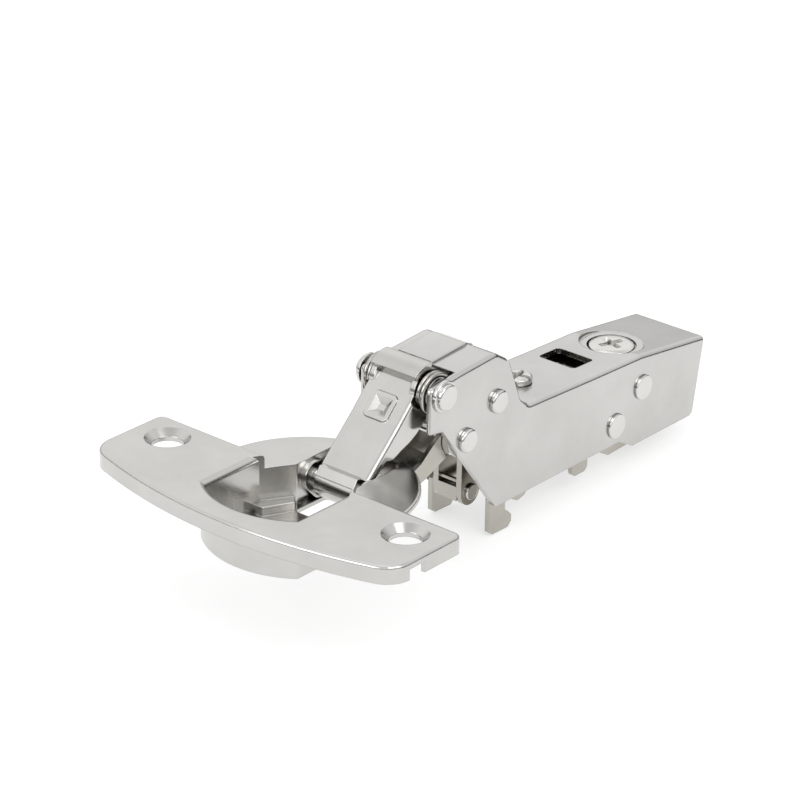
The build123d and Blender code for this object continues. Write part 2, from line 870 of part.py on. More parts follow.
# ---------------------------------------------------------------- control lever
lever_plate_inner = lever_half_width - lever_sheet
lever_front_x = lever_pin_x - lever_foot_radius
with BuildPart() as control_lever:
    cheeks(
        bridge(lever_pivot, lever_eye_radius, lever_pin_place, lever_foot_radius),
        lever_plate_inner,
        lever_half_width,
    )
    across(
        outline(
            [
                (lever_front_x, lever_pin_z - lever_web_height / 2),
                (lever_front_x + lever_web_sheet, lever_pin_z - lever_web_height / 2),
                (lever_front_x + lever_web_sheet, lever_pin_z + lever_web_height / 2),
                (lever_front_x, lever_pin_z + lever_web_height / 2),
            ]
        ),
        lever_plate_inner + 0.05,
    )
    # The tie rod over the foot.
    across(
        disc((lever_front_x + 2 * lever_rod_radius, lever_pin_z + lever_rod_rise), lever_rod_radius),
        lever_plate_inner + 0.05,
    )
    across(disc(lever_pivot, small_rivet_radius + running_clearance), lever_half_width, Mode.SUBTRACT)
    across(disc(lever_pin_place, lever_pin_radius + seat_clearance), lever_half_width, Mode.SUBTRACT)
control_lever.part.label = "control_lever"

with BuildPart() as lever_pin:
    headed_rivet(
        lever_pin,
        lever_pin_place,
        lever_pin_radius,
        lever_pin_head_radius,
        lever_pin_head_height,
        lever_half_width + seat_clearance,
        0.2,
    )
lever_pin.part.label = "lever_pin"

# ---------------------------------------------------------------- damper
damper_run = hypot(damper_pivot_x - lever_pin_x, damper_pivot_z - lever_pin_z)
damper_along = (
    (damper_pivot_x - lever_pin_x) / damper_run,
    0,
    (damper_pivot_z - lever_pin_z) / damper_run,
)
damper_plane = Plane(
    origin=(lever_pin_x, 0, lever_pin_z),
    x_dir=(0, 1, 0),
    z_dir=damper_along,
)
piston_radius = damper_radius - damper_wall - running_clearance
piston_start = damper_start + 3.0
with BuildPart() as damper_rod:
    with BuildSketch(damper_plane):
        Circle(damper_rod_radius)
    extrude(amount=piston_start + 0.5)
    with BuildSketch(damper_plane.offset(piston_start)):
        Circle(piston_radius)
    extrude(amount=piston_length)
    across(disc(lever_pin_place, rod_eye_radius), rod_eye_half_width)
    across(
        upright_stadium(lever_pin_place, 0.15, lever_pin_radius + 0.06),
        rod_eye_half_width + 1,
        Mode.SUBTRACT,
    )
damper_rod.part.label = "damper_rod"

with BuildPart() as damper_cylinder:
    with BuildSketch(damper_plane.offset(damper_start)):
        Circle(damper_radius)
    extrude(amount=damper_end - damper_start)
    with BuildSketch(damper_plane.offset(damper_end - 0.5)):
        Rectangle(2 * damper_tail_half_width, 2 * damper_tail_radius * 0.9)
    extrude(amount=damper_run - damper_end + 0.5)
    across(disc(damper_pivot, damper_tail_radius), damper_tail_half_width)
    across(
        disc(damper_pivot, small_rivet_radius + seat_clearance),
        damper_tail_half_width + 1,
        Mode.SUBTRACT,
    )
    with BuildSketch(damper_plane.offset(damper_start - 0.1)):
        Circle(damper_rod_radius + running_clearance)
    extrude(amount=2, mode=Mode.SUBTRACT)
    with BuildSketch(damper_plane.offset(damper_start + 1.2)):
        Circle(damper_radius - damper_wall)
    extrude(amount=damper_end - damper_start - 2.4, mode=Mode.SUBTRACT)
    # Grooves that crimp the tube over its seals.
    for groove in (damper_start + 2.4, damper_end - 2.4):
        with BuildSketch(damper_plane.offset(groove)):
            Circle(damper_radius + 1)
            Circle(damper_radius - 0.2, mode=Mode.SUBTRACT)
        extrude(amount=0.5, mode=Mode.SUBTRACT)
damper_cylinder.part.label = "damper_cylinder"

# ---------------------------------------------------------------- mounting channel
rear_hook_rear_x = rear_hook_front_x + rear_hook_length
channel_face = outline(
    [
        (channel_front_x, channel_top_z),
        (41.0, -11.6),
        (hook_front_x, -14.2),
        (hook_front_x, hook_bottom_z + 0.8),
        (hook_front_x + 0.95, hook_bottom_z + 0.1),
        (hook_front_x + 5.15, hook_bottom_z),
        (hook_front_x + 6.05, hook_bottom_z + 0.9),
        (hook_front_x + 6.05, hook_bottom_z + 2.1),
        (hook_front_x + 5.15, hook_bottom_z + 3.0),
        (hook_front_x + 4.25, hook_bottom_z + 3.7),
        (hook_front_x + 4.25, hook_bottom_z + 5.1),
        (hook_front_x + 5.85, hook_bottom_z + 5.1),
        (hook_front_x + 7.65, hook_bottom_z + 4.1),
        (hook_front_x + 9.45, hook_bottom_z + 4.5),
        (hook_front_x + 11.05, channel_bottom_z),
        (rear_hook_front_x, channel_bottom_z),
        (rear_hook_front_x, rear_hook_bottom_z),
        (rear_hook_rear_x, rear_hook_bottom_z),
        (rear_hook_rear_x, channel_bottom_z),
        (channel_rear_x, channel_bottom_z),
        (channel_rear_x, channel_top_z - 1.6),
        (channel_rear_x - 9.0, channel_top_z),
    ],
    ((rear_hook_front_x, rear_hook_bottom_z), 1.2),
    ((rear_hook_rear_x, rear_hook_bottom_z), 1.2),
    ((hook_front_x + 5.85, hook_bottom_z + 5.1), 0.5),
    ((hook_front_x + 7.65, hook_bottom_z + 4.1), 0.8),
    ((hook_front_x + 4.25, hook_bottom_z + 5.1), 0.4),
    ((channel_rear_x, channel_bottom_z), 3.0),
)
with BuildPart() as mount_channel:
    across(channel_face, channel_half_width)
    fillet(
        mount_channel.edges()
        .filter_by(Axis.X)
        .filter_by(lambda e: e.center().Z > channel_top_z - 0.01),
        0.8 * channel_sheet,
    )
    across(
        outline(
            [
                (hook_front_x - overrun, channel_top_z - channel_sheet),
                (channel_rear_x + overrun, channel_top_z - channel_sheet),
                (channel_rear_x + overrun, hook_bottom_z - overrun),
                (hook_front_x - overrun, hook_bottom_z - overrun),
            ]
        ),
        channel_inner_half_width,
        Mode.SUBTRACT,
    )
    across(
        stadium(rear_pivot, depth_travel, rear_rivet_radius + running_clearance),
        channel_half_width + 1,
        Mode.SUBTRACT,
    )
    across(
        stadium(damper_pivot, depth_travel + 0.3, small_rivet_radius + tilt_slack),
        channel_half_width + 1,
        Mode.SUBTRACT,
    )
    across(disc(latch_pivot, latch_pin_radius + seat_clearance), channel_half_width + 1, Mode.SUBTRACT)
    # The web's slots for the two adjusting screws and its clip window.
    with BuildSketch(Plane.XY.offset(channel_top_z + 1)):
        with Locations((side_screw_x, 0)):
            SlotCenterToCenter(2 * depth_travel + 0.4, 2 * side_screw_neck_radius + 0.4)
        with Locations((recess_x, 0)):
            SlotCenterToCenter(2 * depth_travel, 2 * (depth_screw_radius + 0.15))
        with Locations(((window_start_x + window_end_x) / 2, window_centre_y)):
            RectangleRounded(window_end_x - window_start_x - 1, 2 * window_half_width, window_corner)
    extrude(amount=-3, mode=Mode.SUBTRACT)
mount_channel.part.label = "mount_channel"

# ---------------------------------------------------------------- adjusters
block_top_z = channel_top_z - channel_sheet - side_clearance
with BuildPart() as depth_block:
    with BuildSketch(Plane.XY.offset(block_top_z)):
        with Locations((recess_x, 0)):
            Rectangle(2 * block_half_length, 2 * (channel_inner_half_width - side_clearance))
    extrude(amount=-block_height)
    chamfer(depth_block.edges().filter_by(Axis.Z), 0.4)
    across(disc(rear_pivot, rear_rivet_radius + seat_clearance), arm_half_width, Mode.SUBTRACT)
    with BuildSketch(Plane.XY.offset(block_top_z + 1)):
        with Locations((recess_x, 0)):
            Circle(depth_screw_radius + running_clearance)
    extrude(amount=-2.6, mode=Mode.SUBTRACT)
depth_block.part.label = "depth_block"


def cross_drive(x, top_z, span):
    """A cross-shaped driver recess in a screw head."""
    with BuildSketch(Plane.XY.offset(top_z)) as cross:
        with Locations((x, 0)):
            Rectangle(span, drive_slot_width, rotation=drive_turn)
            Rectangle(drive_slot_width, span, rotation=drive_turn)
            Rectangle(0.35 * span, 0.35 * span, rotation=drive_turn + 45)
    extrude(cross.sketch, amount=-drive_slot_depth, mode=Mode.SUBTRACT)


depth_head_top_z = channel_top_z + side_clearance + depth_head_height
with BuildPart() as depth_screw:
    with BuildSketch(Plane.XY.offset(depth_head_top_z)):
        with Locations((recess_x, 0)):
            Circle(depth_head_radius)
    extrude(amount=-depth_head_height)
    fillet(depth_screw.edges().group_by(Axis.Z)[-1], 0.5)
    with BuildSketch(Plane.XY.offset(depth_head_top_z - depth_head_height)):
        with Locations((recess_x, 0)):
            Circle(depth_screw_radius)
    extrude(amount=-(depth_head_top_z - depth_head_height - block_top_z) - 1.2)
    cross_drive(recess_x, depth_head_top_z, depth_drive_span)
depth_screw.part.label = "depth_screw"

side_thread_end_z = channel_top_z + tilt_rise + 0.1
side_collar_top_z = channel_top_z - channel_sheet - tilt_rise - 0.1
with BuildPart() as side_screw:
    with BuildSketch(Plane.XY.offset(side_screw_top_z)):
        with Locations((side_screw_x, 0)):
            Circle(side_screw_hole_radius - running_clearance)
    extrude(amount=-(side_screw_top_z - side_thread_end_z))
    with BuildSketch(Plane.XY.offset(side_thread_end_z)):
        with Locations((side_screw_x, 0)):
            Circle(side_screw_neck_radius)
    extrude(amount=-(side_thread_end_z - side_collar_top_z))
    with BuildSketch(Plane.XY.offset(side_collar_top_z)):
        with Locations((side_screw_x, 0)):
            Circle(side_screw_hole_radius - running_clearance)
    extrude(amount=-0.8)
    cross_drive(side_screw_x, side_screw_top_z, side_drive_span)
side_screw.part.label = "side_screw"

# ---------------------------------------------------------------- release latch
latch_plate_inner = latch_half_width - latch_sheet
latch_heel = shifted(latch_pivot, -19.3, -6.7)
latch_claw_front = shifted(latch_pivot, -15.4, -8.9)
latch_claw_rear = shifted(latch_pivot, -9.8, -8.7)
latch_hollow = shifted(latch_pivot, -6.4, -5.9)
latch_tail_low = shifted(latch_pivot, 7.4, -5.7)
latch_tail_high = shifted(latch_pivot, 8.0, -3.9)
latch_face = outline(
    [
        shifted(latch_pivot, -2.0, 0.6),
        shifted(latch_pivot, -4.8, -2.5),
        shifted(latch_pivot, -9.0, -4.6),
        shifted(latch_pivot, -17.2, -5.8),
        latch_heel,
        latch_claw_front,
        latch_claw_rear,
        latch_hollow,
        shifted(latch_pivot, 0.4, -2.6),
        latch_tail_low,
        latch_tail_high,
        shifted(latch_pivot, 2.0, 0.8),
        shifted(latch_pivot, 0.0, 2.2),
    ],
    (latch_claw_front, 0.8),
    (latch_claw_rear, 0.8),
    (latch_heel, 0.5),
    (latch_hollow, 1.5),
    (latch_tail_low, 0.5),
    (latch_tail_high, 0.5),
)
with BuildPart() as release_latch:
    cheeks(latch_face, latch_plate_inner, latch_half_width)
    # The thumb tab at the tail and the web under the claws.
    across(
        outline(
            [
                latch_tail_low,
                latch_tail_high,
                shifted(latch_tail_high, -4.4, 2.5),
                shifted(latch_tail_high, -4.8, 1.6),
                shifted(latch_tail_low, -1.0, 1.2),
            ]
        ),
        latch_plate_inner + 0.05,
    )
    across(
        outline(
            [
                shifted(latch_claw_front, 0.2, 0.1),
                shifted(latch_claw_rear, 0.0, 0.1),
                shifted(latch_claw_rear, 0.0, latch_sheet),
                shifted(latch_claw_front, 0.2, latch_sheet),
            ]
        ),
        latch_plate_inner + 0.05,
    )
    across(disc(latch_pivot, latch_pin_radius + running_clearance), latch_half_width + 1, Mode.SUBTRACT)
release_latch.part.label = "release_latch"

with BuildPart() as latch_pin:
    across(disc(latch_pivot, latch_pin_radius), channel_half_width)
latch_pin.part.label = "latch_pin"

latch_spring_radius = latch_pin_radius + side_clearance + latch_spring_wire / 2
latch_spring_pitch = latch_spring_wire + 0.1
with BuildPart() as latch_spring:
    with BuildLine() as latch_path:
        latch_coil = Helix(
            latch_spring_pitch,
            latch_spring_pitch * latch_spring_turns,
            latch_spring_radius,
            center=(latch_pivot_x, -latch_spring_pitch * latch_spring_turns / 2, latch_pivot_z),
            direction=(0, 1, 0),
        )
        Line(latch_coil @ 1, latch_coil @ 1 + (latch_coil % 1) * 4.5)
    with BuildSketch(latch_path.line ^ 0):
        Circle(latch_spring_wire / 2)
    sweep()
latch_spring.part.label = "latch_spring"

# ---------------------------------------------------------------- files
os.makedirs("parts", exist_ok=True)
pieces = [
    cup,
    cup_pin_outer,
    cup_pin_inner,
    outer_link,
    inner_link,
    arm_housing,
    link_rivet,
    link_bush,
    inner_link_rivet,
    lever_rivet,
    damper_rivet,
    rear_rivet,
    washers["near"],
    washers["far"],
    closing_spring_near,
    closing_spring_far,
    control_lever,
    lever_pin,
    damper_rod,
    damper_cylinder,
    mount_channel,
    depth_block,
    depth_screw,
    side_screw,
    release_latch,
    latch_pin,
    latch_spring,
]
for piece in pieces:
    export_step(piece.part, "parts/" + piece.part.label + ".step")
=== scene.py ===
import json
import math

import bmesh
import bpy
from mathutils import Matrix, Vector


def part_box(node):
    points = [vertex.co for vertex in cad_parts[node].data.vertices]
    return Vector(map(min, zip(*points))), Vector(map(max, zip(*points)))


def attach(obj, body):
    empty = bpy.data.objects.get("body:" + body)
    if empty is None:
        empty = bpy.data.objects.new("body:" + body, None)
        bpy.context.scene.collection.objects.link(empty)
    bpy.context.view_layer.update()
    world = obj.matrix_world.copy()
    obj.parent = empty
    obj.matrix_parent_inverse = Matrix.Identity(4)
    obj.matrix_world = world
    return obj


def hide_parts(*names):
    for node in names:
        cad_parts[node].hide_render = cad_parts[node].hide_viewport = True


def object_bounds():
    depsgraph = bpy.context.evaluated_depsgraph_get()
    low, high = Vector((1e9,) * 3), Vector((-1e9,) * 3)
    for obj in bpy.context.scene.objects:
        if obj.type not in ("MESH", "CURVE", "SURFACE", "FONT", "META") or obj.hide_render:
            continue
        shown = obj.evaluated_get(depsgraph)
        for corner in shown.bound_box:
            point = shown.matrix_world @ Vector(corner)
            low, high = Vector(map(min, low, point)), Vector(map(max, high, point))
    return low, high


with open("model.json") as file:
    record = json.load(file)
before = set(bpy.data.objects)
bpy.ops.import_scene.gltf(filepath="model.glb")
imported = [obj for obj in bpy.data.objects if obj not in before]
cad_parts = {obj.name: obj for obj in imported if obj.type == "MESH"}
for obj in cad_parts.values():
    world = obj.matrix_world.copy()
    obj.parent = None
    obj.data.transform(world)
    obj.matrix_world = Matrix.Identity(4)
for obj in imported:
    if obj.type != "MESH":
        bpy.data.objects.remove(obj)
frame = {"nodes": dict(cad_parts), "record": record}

cad_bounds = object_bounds()
nodes = frame["nodes"]
MM = 0.001

# ------------------------------------------------------------------ camera
CAMERA_AZIMUTH = math.radians(40.54)
CAMERA_ELEVATION = math.radians(25.02)
CAMERA_ROLL = math.radians(0.69)
CAMERA_DISTANCE = 0.57947
FRAME_PIXELS = 800.0
FOCAL_PIXELS = 3564.6
ORIGIN_PIXEL = (306.29, 489.77)
SENSOR_MM = 36.0
CAMERA_NEAR = 0.01
CAMERA_FAR = 20.0


def make_camera():
    """The camera at the photograph's viewing angle, aimed by the pixel of the origin."""
    ca, sa = math.cos(CAMERA_AZIMUTH), math.sin(CAMERA_AZIMUTH)
    ce, se = math.cos(CAMERA_ELEVATION), math.sin(CAMERA_ELEVATION)
    forward = Vector((ce * ca, ce * sa, -se))
    level_right = forward.cross(Vector((0, 0, 1))).normalized()
    level_up = level_right.cross(forward)
    right = level_right * math.cos(CAMERA_ROLL) + level_up * math.sin(CAMERA_ROLL)
    up = right.cross(forward)
    half = FRAME_PIXELS / 2
    side = (ORIGIN_PIXEL[0] - half) / FOCAL_PIXELS * CAMERA_DISTANCE
    rise = -(ORIGIN_PIXEL[1] - half) / FOCAL_PIXELS * CAMERA_DISTANCE
    place = -(right * side + up * rise + forward * CAMERA_DISTANCE)
    data = bpy.data.cameras.new("camera")
    data.sensor_width = SENSOR_MM
    data.lens = FOCAL_PIXELS / FRAME_PIXELS * SENSOR_MM
    data.clip_start = CAMERA_NEAR
    data.clip_end = CAMERA_FAR
    camera = bpy.data.objects.new("camera", data)
    bpy.context.scene.collection.objects.link(camera)
    turn = Matrix((right, up, -forward)).transposed().to_4x4()
    camera.matrix_world = Matrix.Translation(place) @ turn
    bpy.context.scene.camera = camera


make_camera()

# ------------------------------------------------------------------ shader helpers
# Painted shade in seams and recesses: how far they are looked for, and the openness at which the
# painted shade is darkest and at which it is gone.
CREVICE_SHADE_REACH = 0.0012
CREVICE_SHADE_SHUT = 0.15
CREVICE_SHADE_OPEN = 0.75
CREVICE_SHADE_SAMPLES = 8
EDGE_SAMPLES = 6


class Shader:
    """A node material under construction."""

    def __init__(self, name):
        self.material = bpy.data.materials.new(name)
        self.material.use_nodes = True
        self.tree = self.material.node_tree
        self.principled = self.tree.nodes["Principled BSDF"]
        self.output = self.tree.nodes["Material Output"]

    def node(self, kind, **settings):
        made = self.tree.nodes.new(kind)
        for key, value in settings.items():
            setattr(made, key, value)
        return made

    def join(self, source, target):
        self.tree.links.new(source, target)

    def noise(self, scale, detail, roughness):
        place = self.node("ShaderNodeTexCoord")
        noise = self.node("ShaderNodeTexNoise")
        noise.inputs["Scale"].default_value = scale
        noise.inputs["Detail"].default_value = detail
        noise.inputs["Roughness"].default_value = roughness
        self.join(place.outputs["Object"], noise.inputs["Vector"])
        return noise.outputs["Fac"]

    def ramp(self, source, stops):
        ramp = self.node("ShaderNodeValToRGB")
        elements = ramp.color_ramp.elements
        while len(elements) < len(stops):
            elements.new(0.5)
        for element, (place, color) in zip(elements, stops):
            element.position = place
            element.color = (*color, 1.0)
        self.join(source, ramp.inputs["Fac"])
        return ramp.outputs["Color"]

    def spread(self, source, low, high):
        spread = self.node("ShaderNodeMapRange")
        spread.inputs["To Min"].default_value = low
        spread.inputs["To Max"].default_value = high
        self.join(source, spread.inputs["Value"])
        return spread.outputs["Result"]

    def bump(self, height, strength, distance, normal):
        bump = self.node("ShaderNodeBump")
        bump.inputs["Strength"].default_value = strength
        bump.inputs["Distance"].default_value = distance
        self.join(height, bump.inputs["Height"])
        self.join(normal, bump.inputs["Normal"])
        return bump.outputs["Normal"]

    def crevice_shade(self, reach, dark):
        """A painted-shade factor that falls to dark in seams and recesses within reach."""
        shade = self.node("ShaderNodeAmbientOcclusion", samples=CREVICE_SHADE_SAMPLES)
        shade.inputs["Distance"].default_value = reach
        lift = self.node("ShaderNodeMapRange", interpolation_type="SMOOTHSTEP")
        lift.inputs["From Min"].default_value = CREVICE_SHADE_SHUT
        lift.inputs["From Max"].default_value = CREVICE_SHADE_OPEN
        lift.inputs["To Min"].default_value = dark
        lift.inputs["To Max"].default_value = 1.0
        self.join(shade.outputs["AO"], lift.inputs["Value"])
        return lift.outputs["Result"]

    def times(self, color, factor):
        """The color multiplied by a factor."""
        mixed = self.node("ShaderNodeMix", data_type="RGBA", blend_type="MULTIPLY")
        mixed.inputs["Factor"].default_value = 1.0
        self.join(color, mixed.inputs["A"])
        self.join(factor, mixed.inputs["B"])
        return mixed.outputs["Result"]

    def rounded(self, radius):
        """The normal with edges softened over a radius."""
        bevel = self.node("ShaderNodeBevel", samples=EDGE_SAMPLES)
        bevel.inputs["Radius"].default_value = radius
        return bevel.outputs["Normal"]


# ------------------------------------------------------------------ materials
# Each noise is its scale, detail and roughness.
CLOUDS = (90.0, 4.0, 0.6)
CLOUD_LOW = 0.3
CLOUD_HIGH = 0.7
WEAR = (420.0, 5.0, 0.65)
GRAIN = (1600.0, 2.0, 0.5)
GRAIN_STRENGTH = 0.03
GRAIN_DEPTH = 0.00002
# How dark seams and recesses are painted as shade, on most finishes and on screws.
SEAM_SHADE_TONE = 0.25
SCREW_SEAM_SHADE_TONE = 0.15


def plated(name, dark, light, rough_low, rough_high, edge, seam=SEAM_SHADE_TONE):
    """A finish with a cloudy tone, painted shade in seams and recesses, fine grain, worn gloss and
    softly rounded edges.
    """
    shader = Shader(name)
    shader.principled.inputs["Metallic"].default_value = 1.0
    clouds = shader.ramp(shader.noise(*CLOUDS), [(CLOUD_LOW, dark), (CLOUD_HIGH, light)])
    # The base colour is darkened by painted shade in seams and recesses.
    shader.join(
        shader.times(clouds, shader.crevice_shade(CREVICE_SHADE_REACH, seam)),
        shader.principled.inputs["Base Color"],
    )
    wear = shader.noise(*WEAR)
    shader.join(shader.spread(wear, rough_low, rough_high), shader.principled.inputs["Roughness"])
    grain = shader.bump(shader.noise(*GRAIN), GRAIN_STRENGTH, GRAIN_DEPTH, shader.rounded(edge))
    shader.join(grain, shader.principled.inputs["Normal"])
    return shader.material


# For each slot: dark and light tone, lowest and highest roughness, the radius of soft edges and, where
# given, the tone of the painted shade in seams.
FINISHES = {
    "nickel_cup": ((0.515, 0.508, 0.489), (0.575, 0.568, 0.549), 0.15, 0.22, 0.00025),
    "nickel_arm": ((0.525, 0.518, 0.502), (0.585, 0.578, 0.562), 0.15, 0.22, 0.0002),
    "nickel_link": ((0.53, 0.522, 0.50), (0.60, 0.592, 0.57), 0.14, 0.20, 0.0002),
    # The inner link's nickel is darker and browner than the other nickel: painted shade for its place
    # deep inside the arm.
    "nickel_inner": ((0.42, 0.40, 0.36), (0.50, 0.48, 0.44), 0.18, 0.28, 0.00015),
    "rivet_steel": ((0.62, 0.61, 0.59), (0.68, 0.67, 0.65), 0.12, 0.18, 0.00015),
    "spring_steel": ((0.40, 0.39, 0.36), (0.50, 0.49, 0.46), 0.16, 0.24, 0.00005),
    "screw_steel": ((0.62, 0.61, 0.58), (0.70, 0.69, 0.66), 0.14, 0.22, 0.00008, SCREW_SEAM_SHADE_TONE),
    "damper_plastic": ((0.46, 0.45, 0.41), (0.54, 0.53, 0.49), 0.30, 0.40, 0.0001),
}
materials = {name: plated(name, *finish) for name, finish in FINISHES.items()}

slots = {row["node"]: row["material_slot"] for row in frame["record"]["subparts"]}
SMOOTH_ANGLE = math.radians(30)
for name, node in nodes.items():
    node.data.materials.clear()
    node.data.materials.append(materials[slots[name]])
    node.data.shade_smooth()
    node.data.set_sharp_from_angle(angle=SMOOTH_ANGLE)

# ------------------------------------------------------------------ pieces that refine the CAD
PIECE_SMOOTH_ANGLE = math.radians(35)
CORNER_STEPS = 4
CUTTER_OVERRUN = 1.0
EDGE_BREAK = 0.05
EDGE_BREAK_STEPS = 2
EDGE_BREAK_ANGLE = math.radians(40)
DRIVE_TAPER = 0.7
SCREW_SEGMENTS = 96
THREAD_STEP = 0.08


def add_piece(name, mesh, body, slot):
    """Link a finished mesh as a piece on a body, with the finish of a slot."""
    piece = bpy.data.objects.new(name, mesh)
    bpy.context.scene.collection.objects.link(piece)
    mesh.materials.clear()
    mesh.materials.append(materials[slot])
    mesh.shade_smooth()
    mesh.set_sharp_from_angle(angle=PIECE_SMOOTH_ANGLE)
    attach(piece, body)
    return piece


def skin(bm, rows, closed):
    """Faces between rows of vertices that each go once round."""
    pairs = list(zip(rows, rows[1:] + rows[:1])) if closed else list(zip(rows, rows[1:]))
    for low, high in pairs:
        for i in range(len(low)):
            j = (i + 1) % len(low)
            bm.faces.new((low[i], low[j], high[j], high[i]))


def turned(profile, centre, segments, closed=False, ripple=None):
    """A mesh turned about a vertical axis from (radius, height) pairs in millimetres."""
    bm = bmesh.new()
    rows = []
    for radius, height in profile:
        row = []
        for i in range(segments):
            turn = 2 * math.pi * i / segments
            reach = radius + (ripple(turn, height) if ripple else 0.0)
            row.append(
                bm.verts.new(
                    (
                        (centre[0] + reach * math.cos(turn)) * MM,
                        (centre[1] + reach * math.sin(turn)) * MM,
                        height * MM,
                    )
                )
            )
        rows.append(row)
    skin(bm, rows, closed)
    if not closed:
        bm.faces.new(list(reversed(rows[0])))
        bm.faces.new(rows[-1])
    bmesh.ops.recalc_face_normals(bm, faces=bm.faces)
    mesh = bpy.data.meshes.new("turned")
    bm.to_mesh(mesh)
    bm.free()
    return mesh


def rounded_profile(points, radii):
    """The profile with each corner replaced by an arc-like run of points."""
    smooth = []
    last = len(points) - 1
    for i, (point, radius) in enumerate(zip(points, radii)):
        if radius == 0 or i in (0, last):
            smooth.append(point)
            continue
        here = Vector(point)
        start = here + (Vector(points[i - 1]) - here).normalized() * radius
        end = here + (Vector(points[i + 1]) - here).normalized() * radius
        for k in range(CORNER_STEPS + 1):
            t = k / CORNER_STEPS
            place = start * (1 - t) ** 2 + here * 2 * t * (1 - t) + end * t ** 2
            smooth.append((place[0], place[1]))
    return smooth


def cross_outline(span, width, turn):
    """The twelve corners of a cross about its middle, in millimetres."""
    far, near = span / 2, width / 2
    corners = []
    for quarter in range(4):
        angle = turn + quarter * math.pi / 2
        for along, across in ((far, -near), (far, near), (near, near)):
            corners.append(
                (
                    along * math.cos(angle) - across * math.sin(angle),
                    along * math.sin(angle) + across * math.cos(angle),
                )
            )
    return corners


def cross_cutter(centre, top, depth, span, width, turn):
    """A tapered cross that cuts a driver recess into a screw head."""
    bm = bmesh.new()
    rows = []
    for height, share in ((top - depth, DRIVE_TAPER), (top, 1.0), (top + CUTTER_OVERRUN, 1.0)):
        rows.append(
            [
                bm.verts.new(((centre[0] + x) * MM, (centre[1] + y) * MM, height * MM))
                for x, y in cross_outline(span * share, width * share, turn)
            ]
        )
    skin(bm, rows, False)
    bm.faces.new(list(reversed(rows[0])))
    bm.faces.new(rows[-1])
    bmesh.ops.recalc_face_normals(bm, faces=bm.faces)
    mesh = bpy.data.meshes.new("cross")
    bm.to_mesh(mesh)
    bm.free()
    return mesh


def carved(mesh, cutter_mesh):
    """The mesh with the cutter taken away and its sharp edges slightly broken."""
    body = bpy.data.objects.new("carve_body", mesh)
    cutter = bpy.data.objects.new("carve_cutter", cutter_mesh)
    for item in (body, cutter):
        bpy.context.scene.collection.objects.link(item)
    cut = body.modifiers.new("cut", "BOOLEAN")
    cut.operation = "DIFFERENCE"
    cut.solver = "EXACT"
    cut.object = cutter
    soften = body.modifiers.new("soften", "BEVEL")
    soften.width = EDGE_BREAK * MM
    soften.segments = EDGE_BREAK_STEPS
    soften.limit_method = "ANGLE"
    soften.angle_limit = EDGE_BREAK_ANGLE
    graph = bpy.context.evaluated_depsgraph_get()
    result = bpy.data.meshes.new_from_object(body.evaluated_get(graph))
    for item in (body, cutter):
        bpy.data.objects.remove(item)
    return result


def thread(pitch, depth):
    """How far a screw thread stands out at a turn and a height, in millimetres."""

    def rise(turn, height):
        phase = (height / pitch - turn / (2 * math.pi)) % 1.0
        return depth * (1 - abs(2 * phase - 1)) - depth

    return rise


def run_of(start, end, step):
    """Even heights from start to end."""
    count = max(2, round(abs(end - start) / step))
    return [start + (end - start) * i / count for i in range(count + 1)]


def middle_of(node):
    """The middle of a node's box, in millimetres."""
    low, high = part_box(node)
    return [(a + b) / 2 / MM for a, b in zip(low, high)]


def heights_of(node):
    """The lowest and highest height of a node, in millimetres."""
    low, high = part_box(node)
    return low[2] / MM, high[2] / MM


# The pressed seat round the depth screw, in millimetres.
SEAT_RADIUS = 5.95
SEAT_BORE = 4.45
SEAT_FLOOR = -1.0
SEAT_SHEET = 0.55
SEAT_STEP = 0.12
SEAT_WALL = 0.22
SEAT_CORNERS = [0, 0.2, 0.05, 0.05, 0.15, 0]


def make_depth_seat():
    """The pressed seat round the depth screw: a shallow dish in the arm's opening."""
    centre = middle_of("depth_screw")
    points = [
        (SEAT_BORE, SEAT_FLOOR - SEAT_SHEET),
        (SEAT_RADIUS, SEAT_FLOOR - SEAT_SHEET),
        (SEAT_RADIUS, SEAT_FLOOR + SEAT_STEP),
        (SEAT_RADIUS - SEAT_WALL, SEAT_FLOOR + SEAT_STEP),
        (SEAT_RADIUS - SEAT_WALL, SEAT_FLOOR),
        (SEAT_BORE, SEAT_FLOOR),
    ]
    profile = rounded_profile(points, SEAT_CORNERS)
    mesh = turned(profile, centre, SCREW_SEGMENTS, closed=True)
    add_piece("depth_seat", mesh, "arm", "nickel_arm")


# The depth screw, in millimetres.
HEAD_RADIUS = 4.2
HEAD_HEIGHT = 1.9
HEAD_CROWN = 0.25
HEAD_FOOT = 0.4
HEAD_CORNERS = [0, 0.2, 0.2, 0.3, 0.4, 0.5, 0]
SHANK_RADIUS = 1.9
SHANK_TIP = 0.4
DEPTH_PITCH = 0.7
DEPTH_THREAD = 0.25
DRIVE_TURN = math.radians(-20)
DRIVE_DEPTH = 1.6
DRIVE_SPAN = 5.0
DRIVE_WIDTH = 1.1


